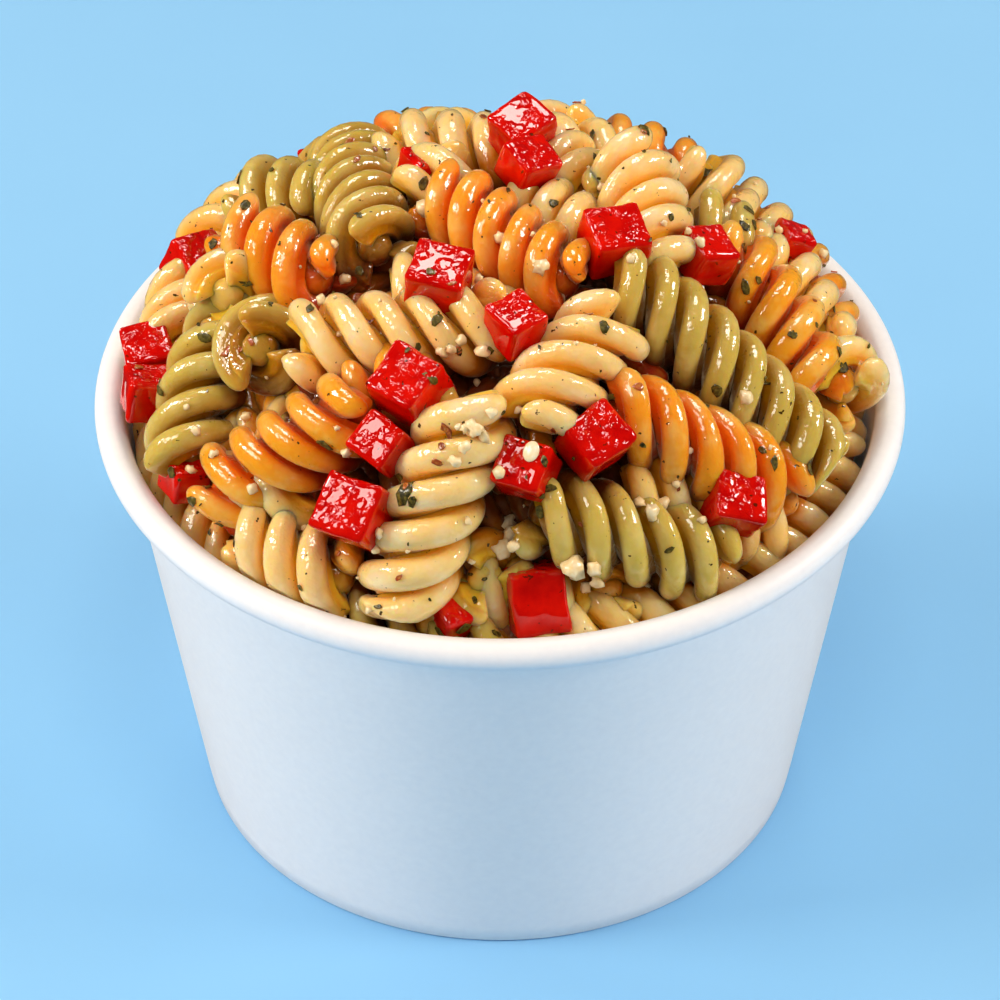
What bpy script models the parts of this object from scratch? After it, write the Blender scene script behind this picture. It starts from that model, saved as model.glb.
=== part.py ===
"""Pasta salad heaped in a white paper cup.

Corkscrew pasta in three doughs is fused on one bare core, and each piece of
diced red pepper is a solid of its own.  Sizes are in millimetres and become
metres where a mesh is made.  The origin is on the floor, under the centre of
the cup.
"""
import math

import bmesh
import bpy
from mathutils import Euler, Vector
from mathutils.bvhtree import BVHTree

MM = 0.001

# Paper cup
CUP_HEIGHT = 67.5
RIM_RADIUS = 57.0
ROLL_RADIUS = 2.15
BASE_RADIUS = 43.15
NECK_RADIUS = 53.2
NECK_HEIGHT = 64.0
WALL = 0.5
FOOT_WIDTH = 1.7
FOOT_DEPTH = 5.5
FLOOR_THICKNESS = 0.6
CUP_SIDES = 64
ROLL_STEPS = 11

# Air between the food and the cup, and between the pepper and the pasta
CUP_GAP = 0.45
DICE_GAP = 0.5

# Bare core of the heap
CORE_TOP = 90.5
CORE_EDGE = 64.5
CORE_EDGE_RADIUS = 51.2
CORE_SHOULDER = 2.7
CORE_SIDES = 30
CORE_RINGS = (0.0, 16.0, 28.0, 37.0, 44.0, 48.5)
FOOD_RADIUS = 52.1

# Over the rim the food may reach further out
OVERHANG_FROM = 66.0
OVERHANG_HEIGHT = 2.8
OVERHANG_SLOPE = 0.9
AXIS_ROOM = 6.1

# Corkscrew pasta: three blades round one axis
TWIST_RADIUS = 6.7
TWIST_LEAD = 15.6
TWIST_STEP_DEGREES = 45.0
BLADE_HALF_ANGLE = 31.0
VALLEY_RADIUS = 2.6
TIP_LENGTH = 1.6
TIP_RADIUS_SHARE = 0.9
TIP_WIDTH_SHARE = 0.62

# The fused heap is thinned to about this many triangles
HEAP_TRIANGLES = 10000
UNTANGLE_ROUNDS = 30

# Diced pepper
DICE_BEVEL = 0.8
DICE_SKEW = 0.07

# Each twist: name, one end, other end (x, y, z), turn of the blades in
# degrees, and how far its middle is bowed away from the heap.
TWISTS = (
    ("green_top", (-21, 33, 82), (-16.5, -3.5, 92), 0, 2.0),
    ("orange_left_top", (-36, 10, 86.5), (-23, -6, 88.5), 20, 1.0),
    ("green_left", (-30, 8, 83), (-43, -22, 68), 40, 3.0),
    ("green_curl", (-33.5, -16, 86), (-29, 1, 76), 10, 0.0),
    ("cream_star", (-38, -5, 87), (-35.5, 10, 76), 55, 0.0),
    ("cream_left_mid", (-28, -18, 88), (1, -19, 93), 15, 0.5),
    ("orange_top", (-8.5, 9, 93.5), (10.5, -13, 93.5), 70, 0.5),
    ("cream_top_left", (-16, 28, 86), (7, 19, 89.5), 35, 1.0),
    ("orange_far", (-17, 35, 81.5), (-1, 34, 82), 0, 0.5),
    ("cream_far", (4, 28, 86), (18, 25, 86), 50, 0.5),
    ("cream_top_right", (17.5, 17, 94), (21, -8, 91), 90, 1.0),
    ("cream_mid_far", (7, 24, 89), (13, 8, 91), 20, 0.0),
    ("cream_mid", (2, 12, 91), (14, -3, 91), 75, 0.0),
    ("cream_mid_left", (-14, 12, 91), (-4, 15, 92), 10, 0.0),
    ("cream_under_top", (-15, -5, 87), (5, -15, 88), 40, 0.0),
    ("cream_fingers", (27, 25, 88), (33, 12, 80), 30, 0.0),
    ("cream_right_far", (31, 27, 79), (40, 14, 76), 65, 0.5),
    ("green_right_far", (24, 16, 85), (35, 10, 82), 45, 0.0),
    ("orange_right", (30, 9, 85), (43.3, -11, 73), 0, 1.5),
    ("orange_right_rim", (40, 20, 73), (46, 4, 70), 80, 0.5),
    ("cream_right_rim", (37, 14, 78), (45, -1, 73), 25, 0.5),
    ("cream_right_chunk", (48, -10, 73), (46, 0, 71.5), 50, 0.0),
    ("green_right", (15, -10, 94), (45, -24, 69), 85, 2.0),
    ("cream_centre", (15.5, -18, 93), (3, -36, 88.5), 5, 0.5),
    ("cream_front", (-3, -32, 91), (-14.5, -46, 63.5), 60, 3.0),
    ("orange_front_right", (13.5, -29, 87.5), (39, -27, 69.5), 30, 2.0),
    ("green_front", (3, -40, 79), (31, -37, 66.5), 10, 1.5),
    ("cream_front_right", (15, -33, 77.5), (38.5, -27, 63.5), 45, 1.0),
    ("cream_front_low", (-3.5, -37, 65), (-1.5, -46.5, 71), 20, 0.0),
    ("cream_front_rim", (14.5, -35, 63), (14, -44.5, 67), 55, 0.0),
    ("cream_front_left", (-34, -31, 68), (-19, -43, 66.5), 0, 1.0),
    ("cream_under_left", (-25, -31, 75), (-36, -25, 69), 35, 0.0),
    ("orange_front_left", (-39, -27, 69), (-16, -29, 88), 75, 1.0),
    ("orange_dark", (-20, -22, 86), (-9, -28, 87), 50, 0.0),
    ("cream_left_rim", (-43, 17, 71), (-45, 1, 70), 15, 0.5),
    ("cream_left_far", (-43, 23, 71), (-31, 33, 75), 60, 0.5),
    ("green_left_far", (-35, 27, 79), (-23, 15, 86), 25, 0.5),
    ("cream_back_a", (-38, 22, 68), (-25, 36, 69), 0, 1.5),
    ("orange_back_b", (-21, 38, 71), (-3, 43, 68), 30, 1.0),
    ("green_back_c", (2, 43, 70), (22, 38, 68), 60, 1.0),
    ("cream_back_d", (26, 36, 70), (39, 22, 68), 90, 1.0),
    ("cream_back_e", (-11, 40, 76), (-6, 28, 87), 15, 0.5),
    ("cream_back_f", (5, 41, 76), (9, 31, 86), 45, 0.5),
    ("orange_back_g", (13, 38, 80), (27, 29, 80), 75, 0.5),
    ("green_back_h", (-28, 33, 77), (-16, 40, 74), 20, 0.5),
)

# Each die of pepper: name, centre (x, y, z), edge lengths, turns in degrees.
DICE = (
    ("pepper_left_far", (-43.2, 18, 74.5), (7.5, 6.5, 7.0), (20, 10, 35)),
    ("pepper_left_rim_a", (-49.2, 1.6, 71.5), (7.0, 7.3, 6.5), (15, -10, 10)),
    ("pepper_left_rim_b", (-48.8, -7.4, 71.5), (7.0, 6.5, 6.5), (-10, 10, 12)),
    ("pepper_left_low", (-43.3, -21.9, 68.5), (5.5, 5.5, 5.5), (0, 10, 27)),
    ("pepper_top_small", (-11, 14.5, 94), (5.0, 5.5, 5.0), (0, 15, 30)),
    ("pepper_top_a", (3, 19.5, 97), (7.5, 7.0, 6.5), (10, -10, 40)),
    ("pepper_top_b", (4, 10.5, 97.5), (6.5, 6.2, 6.0), (15, 10, 35)),
    ("pepper_top_right", (15.5, -7, 98), (8.0, 7.5, 7.0), (15, 5, 20)),
    ("pepper_mid_left", (-8.2, -16, 98.5), (8.0, 7.5, 7.0), (10, 5, -15)),
    ("pepper_centre", (2, -23.5, 96.5), (6.5, 6.5, 6.0), (10, 0, 40)),
    ("pepper_left_centre", (-12, -30.5, 91.5), (8.5, 8.0, 7.5), (25, 0, -40)),
    ("pepper_left_upper", (-15.8, -36.3, 86.4), (6.4, 6.2, 6.0), (35, 10, -40)),
    ("pepper_left_front", (-19.4, -42.2, 79.5), (8.5, 8.2, 7.8), (40, 0, -30)),
    ("pepper_centre_front", (3.5, -40, 85), (7.2, 6.8, 6.8), (35, 0, -25)),
    ("pepper_right_centre", (12.6, -36.3, 87), (7.8, 7.2, 7.2), (30, -10, 40)),
    ("pepper_right_front", (31.5, -35.5, 75.5), (7.5, 7.0, 6.5), (30, 20, 10)),
    ("pepper_front", (4.9, -45.8, 67.2), (7.6, 6.3, 9.0), (-25, 0, 15)),
    ("pepper_front_low", (-6, -47, 65.5), (6.0, 5.5, 5.5), (20, 0, 30)),
    ("pepper_right_far", (28.2, -2.5, 92), (6.5, 6.5, 6.2), (10, 20, 30)),
    ("pepper_right_rim", (41, 15, 80.5), (5.0, 5.0, 5.0), (0, 30, 20)),
    ("pepper_back_left", (-25, 43.5, 72.5), (7.0, 6.5, 6.5), (-30, 10, 30)),
    ("pepper_back_mid", (0, 44, 76), (7.5, 7.0, 6.5), (-35, 0, 20)),
    ("pepper_back_right", (20, 45, 71.5), (7.0, 7.0, 6.5), (-25, -20, 40)),
)

PASTA_COLOUR = (0.86, 0.56, 0.18, 1.0)
PEPPER_COLOUR = (0.55, 0.004, 0.003, 1.0)
PAPER_COLOUR = (0.86, 0.88, 0.92, 1.0)


def clear_scene():
    for thing in list(bpy.data.objects):
        bpy.data.objects.remove(thing, do_unlink=True)


def make_material(name, colour, roughness):
    material = bpy.data.materials.new(name)
    material.use_nodes = True
    shader = material.node_tree.nodes["Principled BSDF"]
    shader.inputs["Base Color"].default_value = colour
    shader.inputs["Roughness"].default_value = roughness
    shader.inputs["Metallic"].default_value = 0.0
    return material


def link_mesh(name, bm, collection=None):
    """Makes an object of a bmesh in millimetres."""
    bmesh.ops.recalc_face_normals(bm, faces=bm.faces)
    bmesh.ops.scale(bm, vec=(MM, MM, MM), verts=bm.verts)
    mesh = bpy.data.meshes.new(name)
    bm.to_mesh(mesh)
    bm.free()
    thing = bpy.data.objects.new(name, mesh)
    (collection or bpy.context.scene.collection).objects.link(thing)
    return thing


def wall_outside(height):
    return BASE_RADIUS + (NECK_RADIUS - BASE_RADIUS) * height / NECK_HEIGHT


def wall_inside(height):
    return wall_outside(height) - WALL


def food_reach(height):
    """How far from the cup's axis the food may go at a height: to the wall, then over the rim."""
    over_rim = min(max(height - OVERHANG_FROM, 0.0), OVERHANG_HEIGHT) * OVERHANG_SLOPE
    return min(FOOD_RADIUS, wall_inside(height) - CUP_GAP) + over_rim


def core_height(radius):
    fall = (radius / CORE_EDGE_RADIUS) ** CORE_SHOULDER
    return CORE_EDGE + (CORE_TOP - CORE_EDGE) * (1.0 - fall)


def turn_profile(name, profile, sides):
    """Turns a profile, given from axis to axis, into one closed body."""
    bm = bmesh.new()
    rings = []
    for radius, height in profile:
        if radius == 0.0:
            rings.append([bm.verts.new((0.0, 0.0, height))])
            continue
        ring = []
        for side in range(sides):
            angle = math.tau * side / sides
            ring.append(bm.verts.new((radius * math.cos(angle), radius * math.sin(angle), height)))
        rings.append(ring)
    for lower, upper in zip(rings, rings[1:]):
        for side in range(sides):
            after = (side + 1) % sides
            corners = [lower[side % len(lower)], lower[after % len(lower)]]
            corners += [upper[after % len(upper)], upper[side % len(upper)]]
            bm.faces.new(list(dict.fromkeys(corners)))
    return link_mesh(name, bm)


def cup_profile():
    """Under the floor, round the foot, up the outside, over the rolled rim, down the inside."""
    roll_centre = (RIM_RADIUS - ROLL_RADIUS, CUP_HEIGHT - ROLL_RADIUS)
    start = math.atan2(NECK_HEIGHT - roll_centre[1], NECK_RADIUS - roll_centre[0])
    finish = math.radians(190.0)
    profile = [(0.0, FOOT_DEPTH), (BASE_RADIUS - FOOT_WIDTH, FOOT_DEPTH)]
    profile += [(BASE_RADIUS - FOOT_WIDTH, 0.0), (BASE_RADIUS, 0.0)]
    for step in range(ROLL_STEPS + 1):
        angle = start + (finish - start) * step / ROLL_STEPS
        radius = roll_centre[0] + ROLL_RADIUS * math.cos(angle)
        profile.append((radius, roll_centre[1] + ROLL_RADIUS * math.sin(angle)))
    inside_floor = FOOT_DEPTH + FLOOR_THICKNESS
    profile.append((wall_inside(NECK_HEIGHT - 1.0), NECK_HEIGHT - 1.0))
    profile.append((wall_inside(inside_floor), inside_floor))
    profile.append((0.0, inside_floor))
    return profile


def make_cup(material):
    cup = turn_profile("cup", cup_profile(), CUP_SIDES)
    cup.data.materials.append(material)
    cup.data.shade_smooth()
    cup.data.set_sharp_from_angle(angle=math.radians(40.0))
    return cup


def make_core():
    bottom = FOOT_DEPTH + FLOOR_THICKNESS + CUP_GAP
    profile = [(radius, core_height(radius)) for radius in CORE_RINGS]
    profile.append((food_reach(CORE_EDGE - 2.0), CORE_EDGE - 2.0))
    profile.append((food_reach(bottom), bottom))
    profile.append((0.0, bottom))
    return turn_profile("pasta_heap", profile, CORE_SIDES)


def twist_axis(start, end, bow, share):
    """A point on the twist's axis and the way that it runs there."""
    middle = (start + end) / 2.0
    along = (end - start).normalized()
    outward = middle - Vector((0.0, 0.0, CORE_EDGE))
    outward = (outward - along * outward.dot(along)).normalized()
    handle = middle + outward * 2.0 * bow
    point = start * (1 - share) ** 2 + handle * 2 * share * (1 - share) + end * share ** 2
    point = press_to_cup(point, AXIS_ROOM)
    way = ((handle - start) * (1 - share) + (end - handle) * share).normalized()
    return point, way, outward


def blade_section(width_share, radius_share):
    """Angle and radius of the points round the three blades."""
    section = []
    for blade in range(3):
        middle = 120.0 * blade
        section.append((middle - 60.0, VALLEY_RADIUS))
        section.append((middle - BLADE_HALF_ANGLE * width_share, TWIST_RADIUS * radius_share))
        section.append((middle + BLADE_HALF_ANGLE * width_share, TWIST_RADIUS * radius_share))
    return section


def twist_stations(length):
    """Distances along the axis: a short rounded tip at each end, even turns between."""
    turns = (length - 2 * TIP_LENGTH) / TWIST_LEAD * 360.0
    count = max(2, round(turns / TWIST_STEP_DEGREES))
    body = [TIP_LENGTH + (length - 2 * TIP_LENGTH) * n / count for n in range(count + 1)]
    return [0.0] + body + [length]


def press_to_cup(point, room=0.0):
    """Moves a point that would cross the cup's wall back in, to a distance from it."""
    reach = food_reach(point.z) - room
    radius = math.hypot(point.x, point.y)
    if radius <= reach:
        return point
    return Vector((point.x * reach / radius, point.y * reach / radius, point.z))


def make_twist(name, start, end, turn, bow, collection):
    start = Vector(start)
    end = Vector(end)
    length = (end - start).length
    bm = bmesh.new()
    rings = []
    for distance in twist_stations(length):
        at_tip = distance in (0.0, length)
        width = TIP_WIDTH_SHARE if at_tip else 1.0
        radius = TIP_RADIUS_SHARE if at_tip else 1.0
        point, way, outward = twist_axis(start, end, bow, distance / length)
        normal = (outward - way * outward.dot(way)).normalized()
        side = way.cross(normal)
        ring = []
        for angle, reach in blade_section(width, radius):
            around = math.radians(angle + turn) + math.tau * distance / TWIST_LEAD
            spot = point + (normal * math.cos(around) + side * math.sin(around)) * reach
            ring.append(bm.verts.new(press_to_cup(spot)))
        rings.append(ring)
    for lower, upper in zip(rings, rings[1:]):
        for place in range(len(lower)):
            after = (place + 1) % len(lower)
            bm.faces.new((lower[place], lower[after], upper[place]))
            bm.faces.new((lower[after], upper[after], upper[place]))
    bm.faces.new(rings[0])
    bm.faces.new(rings[-1])
    return link_mesh(name, bm, collection)


def make_die(name, centre, size, turns, grow, collection=None):
    """A die of pepper: a cuboid a little out of square, with its edges bevelled."""
    bm = bmesh.new()
    bmesh.ops.create_cube(bm, size=1.0)
    for vert in bm.verts:
        lean = DICE_SKEW * vert.co.z
        vert.co.x = vert.co.x * (size[0] + 2 * grow) * (1.0 - lean)
        vert.co.y = vert.co.y * (size[1] + 2 * grow) * (1.0 + lean)
        vert.co.z = vert.co.z * (size[2] + 2 * grow)
    if not grow:
        bmesh.ops.bevel(bm, geom=list(bm.edges), offset=DICE_BEVEL, segments=1, affect="EDGES")
    rotation = Euler([math.radians(turn) for turn in turns]).to_matrix()
    bmesh.ops.rotate(bm, cent=(0.0, 0.0, 0.0), matrix=rotation, verts=bm.verts)
    bmesh.ops.translate(bm, vec=centre, verts=bm.verts)
    return link_mesh(name, bm, collection)


def apply_boolean(target, collection, operation):
    """Joins or cuts with everything in a collection, then removes the collection."""
    modifier = target.modifiers.new(operation.lower(), "BOOLEAN")
    modifier.operation = operation
    modifier.operand_type = "COLLECTION"
    modifier.collection = collection
    modifier.solver = "EXACT"
    graph = bpy.context.evaluated_depsgraph_get()
    result = bpy.data.meshes.new_from_object(target.evaluated_get(graph))
    target.modifiers.clear()
    target.data = result
    for thing in list(collection.objects):
        bpy.data.objects.remove(thing, do_unlink=True)
    bpy.data.collections.remove(collection)


def new_collection(name):
    collection = bpy.data.collections.new(name)
    bpy.context.scene.collection.children.link(collection)
    return collection


def loose_groups(bm):
    """The faces of each separate shell."""
    groups = []
    seen = set()
    for first in bm.faces:
        if first in seen:
            continue
        seen.add(first)
        group = [first]
        for face in group:
            for edge in face.edges:
                for other in edge.link_faces:
                    if other not in seen:
                        seen.add(other)
                        group.append(other)
        groups.append(group)
    return groups


def keep_largest_shell(target):
    """Drops loose scraps and fills the hollows that fusing sealed."""
    bm = bmesh.new()
    bm.from_mesh(target.data)
    groups = sorted(loose_groups(bm), key=len)
    scraps = [face for group in groups[:-1] for face in group]
    bmesh.ops.delete(bm, geom=scraps, context="FACES")
    bmesh.ops.triangulate(bm, faces=bm.faces)
    bm.to_mesh(target.data)
    bm.free()


def thin_out(target, triangles):
    """Takes the smallest facets out of a mesh, down to about a number of triangles."""
    thinner = target.modifiers.new("thin_out", "DECIMATE")
    thinner.ratio = min(1.0, triangles / len(target.data.polygons))
    thinner.use_collapse_triangulate = True
    graph = bpy.context.evaluated_depsgraph_get()
    result = bpy.data.meshes.new_from_object(target.evaluated_get(graph))
    target.modifiers.clear()
    target.data = result


def crossing_faces(bm):
    """Faces that cut through a face that they share no corner with."""
    bm.faces.ensure_lookup_table()
    tree = BVHTree.FromBMesh(bm)
    crossing = set()
    for first, second in tree.overlap(tree):
        corners = set(bm.faces[first].verts) & set(bm.faces[second].verts)
        if first < second and not corners:
            crossing.update((first, second))
    return [bm.faces[index] for index in sorted(crossing)]


def untangle(target):
    """Relaxes the few facets that thinning has folded through each other."""
    bm = bmesh.new()
    bm.from_mesh(target.data)
    for _ in range(UNTANGLE_ROUNDS):
        corners = {vert for face in crossing_faces(bm) for vert in face.verts}
        if not corners:
            break
        ordered = sorted(corners, key=lambda vert: vert.index)
        bmesh.ops.smooth_vert(
            bm, verts=ordered, factor=0.5, use_axis_x=True, use_axis_y=True, use_axis_z=True
        )
    bm.to_mesh(target.data)
    bm.free()


def make_heap(material):
    heap = make_core()
    twists = new_collection("twists")
    for name, start, end, turn, bow in TWISTS:
        make_twist(name, start, end, turn, bow, twists)
    apply_boolean(heap, twists, "UNION")
    pockets = new_collection("pockets")
    for name, centre, size, turns in DICE:
        make_die(name + "_pocket", centre, size, turns, DICE_GAP, pockets)
    apply_boolean(heap, pockets, "DIFFERENCE")
    keep_largest_shell(heap)
    thin_out(heap, HEAP_TRIANGLES)
    untangle(heap)
    heap.data.materials.clear()
    heap.data.materials.append(material)
    return heap


def make_dice(material):
    for name, centre, size, turns in DICE:
        die = make_die(name, centre, size, turns, 0.0)
        die.data.materials.append(material)


def main():
    clear_scene()
    make_cup(make_material("white_paper", PAPER_COLOUR, 0.5))
    make_heap(make_material("cooked_pasta", PASTA_COLOUR, 0.4))
    make_dice(make_material("red_pepper", PEPPER_COLOUR, 0.25))


main()
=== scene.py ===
"""Looks of the pasta salad in its paper cup.

Every corkscrew of pasta is wound anew here, with round ridges and three-armed
ends, where the solid heap has plain ones. Tables are in millimetres, and
become metres where a mesh is made.
"""
import math
import random

import bmesh
import bpy
import numpy as np
from mathutils import Euler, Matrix, Quaternion, Vector, noise
from mathutils.bvhtree import BVHTree


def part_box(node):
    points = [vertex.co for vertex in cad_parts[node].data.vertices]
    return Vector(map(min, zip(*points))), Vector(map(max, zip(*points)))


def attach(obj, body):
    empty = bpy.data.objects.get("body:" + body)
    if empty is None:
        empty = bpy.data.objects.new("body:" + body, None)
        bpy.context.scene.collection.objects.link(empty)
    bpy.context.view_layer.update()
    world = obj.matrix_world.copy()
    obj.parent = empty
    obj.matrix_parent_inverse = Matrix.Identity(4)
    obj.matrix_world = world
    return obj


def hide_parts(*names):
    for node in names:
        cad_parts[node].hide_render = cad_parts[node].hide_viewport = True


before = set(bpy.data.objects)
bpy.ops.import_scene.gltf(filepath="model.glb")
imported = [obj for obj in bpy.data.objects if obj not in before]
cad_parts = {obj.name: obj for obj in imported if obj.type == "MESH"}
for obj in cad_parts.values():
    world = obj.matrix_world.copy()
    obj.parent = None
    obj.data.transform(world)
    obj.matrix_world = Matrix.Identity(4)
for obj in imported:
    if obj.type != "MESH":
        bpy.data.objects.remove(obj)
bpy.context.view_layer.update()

MM = 0.001

# The cup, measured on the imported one
CUP_LOW, CUP_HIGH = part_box("cup")
CUP_HEIGHT = CUP_HIGH.z / MM
RIM_RADIUS = (CUP_HIGH.x - CUP_LOW.x) / 2 / MM
ROLL_RADIUS = 2.15
BASE_RADIUS = 43.15
NECK_RADIUS = 53.2
NECK_HEIGHT = 64.0
WALL = 0.5
FOOT_WIDTH = 1.7
FOOT_DEPTH = 5.5
FLOOR_THICKNESS = 0.6
FLOOR_ROUND = 0.3
FOOT_ROUND = 0.35
CUP_GAP = 0.45
CUP_SIDES = 256
WALL_STEPS = 24

# How far under the neck the wall's outside and inside stop
WALL_STOPS = (0.9, 1.0)

# The rolled rim's section, from and to these angles in degrees
ROLL_FROM = -128.0
ROLL_TO = 190.0
ROLL_STEPS = 40

# The dome that the food makes, and how far it may reach sideways
DOME_TOP = 90.5
DOME_EDGE = 64.5
DOME_EDGE_RADIUS = 51.2
DOME_SHOULDER = 2.7
FOOD_RADIUS = 52.1
OVERHANG_FROM = 66.0
OVERHANG_HEIGHT = 2.8
OVERHANG_SLOPE = 0.9
AXIS_ROOM = 6.1

# The core under the pasta, with lumps on its top
CORE_DEPTH = 7.0
CORE_RADIUS = 50.0
CORE_RINGS = 40
CORE_SIDES = 96
CORE_LUMPS_FROM = 40.0
CORE_LUMP = 1.2
CORE_LUMPS_PER_METRE = 160.0

# Corkscrew pasta: three blades wound round one rod
TWIST_RADIUS = 6.7
TWIST_LEAD = 15.6
ROD_RADIUS = 2.5
ROD_INSET = 2.6
ROD_STEP = 1.2
ROD_TIP = 1.6
ROD_SIDES = 12
WEB_HALF = 0.85
WEB_RADIUS = 1.4
VALLEY_HALF = 2.6
VALLEY_RADIUS = 3.6
ROW_STEP = 0.5
RIDGE_STEPS = 13
RIDGE_SWEEP = 108.0
TIP_DEGREES = (22.0, 42.0, 58.0, 72.0, 84.0)
BLADES = 3

# How far the pieces differ: shares of their sizes, then millimetres
RIDGE_RANGE = (0.95, 1.06)
GIRTH_RANGE = (0.96, 1.02)
LEAD_RANGE = (0.985, 1.015)
WAVE_RANGE = (0.8, 1.25)
LEAN = 0.10
END_SHIFT = 0.5

# How uneven a blade is: the sizes of its waves, then their lengths
SWELL_WAVE = ((0.05, 0.03), (13.0, 6.0))
RISE_WAVE = ((0.22, 0.10), (12.0, 5.0))
SWAY_WAVE = ((3.0, 1.5), (14.0, 7.0))

# How pale the cut ends are, and how far in that reaches
END_PALE = 0.85
END_DEPTH = 4.5

# Radius of the round ridge for each dough, in millimetres
RIDGE = {"cream": 2.05, "orange": 1.9, "green": 1.85}

# Each twist: name, one end, other end (x, y, z), turn of the blades in
# degrees, and how far its middle is bowed away from the heap.
TWISTS = (
    ("green_top", (-21, 33, 82), (-16.5, -3.5, 92), 0, 2.0),
    ("orange_left_top", (-36, 10, 86.5), (-23, -6, 88.5), 20, 1.0),
    ("green_left", (-30, 8, 83), (-43, -22, 68), 40, 3.0),
    ("green_curl", (-33.5, -16, 86), (-29, 1, 76), 10, 0.0),
    ("cream_star", (-38, -5, 87), (-35.5, 10, 76), 55, 0.0),
    ("cream_left_mid", (-28, -18, 88), (1, -19, 93), 15, 0.5),
    ("orange_top", (-8.5, 9, 93.5), (10.5, -13, 93.5), 70, 0.5),
    ("cream_top_left", (-16, 28, 86), (7, 19, 89.5), 35, 1.0),
    ("orange_far", (-17, 35, 81.5), (-1, 34, 82), 0, 0.5),
    ("cream_far", (4, 28, 86), (18, 25, 86), 50, 0.5),
    ("cream_top_right", (17.5, 17, 94), (21, -8, 91), 90, 1.0),
    ("cream_mid_far", (7, 24, 89), (13, 8, 91), 20, 0.0),
    ("cream_mid", (2, 12, 91), (14, -3, 91), 75, 0.0),
    ("cream_mid_left", (-14, 12, 91), (-4, 15, 92), 10, 0.0),
    ("cream_under_top", (-15, -5, 87), (5, -15, 88), 40, 0.0),
    ("cream_fingers", (27, 25, 88), (33, 12, 80), 30, 0.0),
    ("cream_right_far", (31, 27, 79), (40, 14, 76), 65, 0.5),
    ("green_right_far", (24, 16, 85), (35, 10, 82), 45, 0.0),
    ("orange_right", (30, 9, 85), (43.3, -11, 73), 0, 1.5),
    ("orange_right_rim", (40, 20, 73), (46, 4, 70), 80, 0.5),
    ("cream_right_rim", (37, 14, 78), (45, -1, 73), 25, 0.5),
    ("cream_right_chunk", (48, -10, 73), (46, 0, 71.5), 50, 0.0),
    ("green_right", (15, -10, 94), (45, -24, 69), 85, 2.0),
    ("cream_centre", (15.5, -18, 93), (3, -36, 88.5), 5, 0.5),
    ("cream_front", (-3, -32, 91), (-14.5, -46, 63.5), 60, 3.0),
    ("orange_front_right", (13.5, -29, 87.5), (39, -27, 69.5), 30, 2.0),
    ("green_front", (3, -40, 79), (31, -37, 66.5), 10, 1.5),
    ("cream_front_right", (15, -33, 77.5), (38.5, -27, 63.5), 45, 1.0),
    ("cream_front_low", (-3.5, -37, 65), (-1.5, -46.5, 71), 20, 0.0),
    ("cream_front_rim", (14.5, -35, 63), (14, -44.5, 67), 55, 0.0),
    ("cream_front_left", (-34, -31, 68), (-19, -43, 66.5), 0, 1.0),
    ("cream_under_left", (-25, -31, 75), (-36, -25, 69), 35, 0.0),
    ("orange_front_left", (-39, -27, 69), (-16, -29, 88), 75, 1.0),
    ("orange_dark", (-20, -22, 86), (-9, -28, 87), 50, 0.0),
    ("cream_left_rim", (-43, 17, 71), (-45, 1, 70), 15, 0.5),
    ("cream_left_far", (-43, 23, 71), (-31, 33, 75), 60, 0.5),
    ("green_left_far", (-35, 27, 79), (-23, 15, 86), 25, 0.5),
    ("cream_back_a", (-38, 22, 68), (-25, 36, 69), 0, 1.5),
    ("orange_back_b", (-21, 38, 71), (-3, 43, 68), 30, 1.0),
    ("green_back_c", (2, 43, 70), (22, 38, 68), 60, 1.0),
    ("cream_back_d", (26, 36, 70), (39, 22, 68), 90, 1.0),
    ("cream_back_e", (-11, 40, 76), (-6, 28, 87), 15, 0.5),
    ("cream_back_f", (5, 41, 76), (9, 31, 86), 45, 0.5),
    ("orange_back_g", (13, 38, 80), (27, 29, 80), 75, 0.5),
    ("green_back_h", (-28, 33, 77), (-16, 40, 74), 20, 0.5),
)

# Map of directions, with cells in radians, for how deep each point lies under its neighbours
MAP_CENTRE = (0.0, 0.0, 15.0)
MAP_CELL = 0.011
MAP_SIZE = 200
MAP_WIDEN = 2
MAP_SMOOTH = 3

# Pasta that lies along the wall, just under the rim
RING_DOUGHS = ("cream", "green", "cream", "orange", "cream", "cream", "green", "cream", "cream")
RING_RADIUS = 46.2
RING_HEIGHT = 60.5
RING_START = 0.3
RING_OVERLAP = 1.02
RING_COARSE = 1.4

# Pasta that only shows through the gaps, laid under the surface by a rule
UNDER_COUNT = 76
UNDER_REACH = 47.0
UNDER_ROUND_FROM = 30.0
UNDER_LIFT = -4.8
UNDER_LIFT_RANGE = (-1.2, 0.8)
UNDER_ASKEW = 0.6
UNDER_BEND = 160.0
UNDER_COARSE = 1.8
UNDER_LENGTH = 34.0
UNDER_HALF_RANGE = (0.35, 0.5)
UNDER_DOUGHS = ("cream", "cream", "cream", "green", "orange")

# How far those are lowered under the pieces on top of them
ROOM_RADIUS = 5.9
SINK_PERCENT = 93
SINK_LIMIT = 4.5

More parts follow.
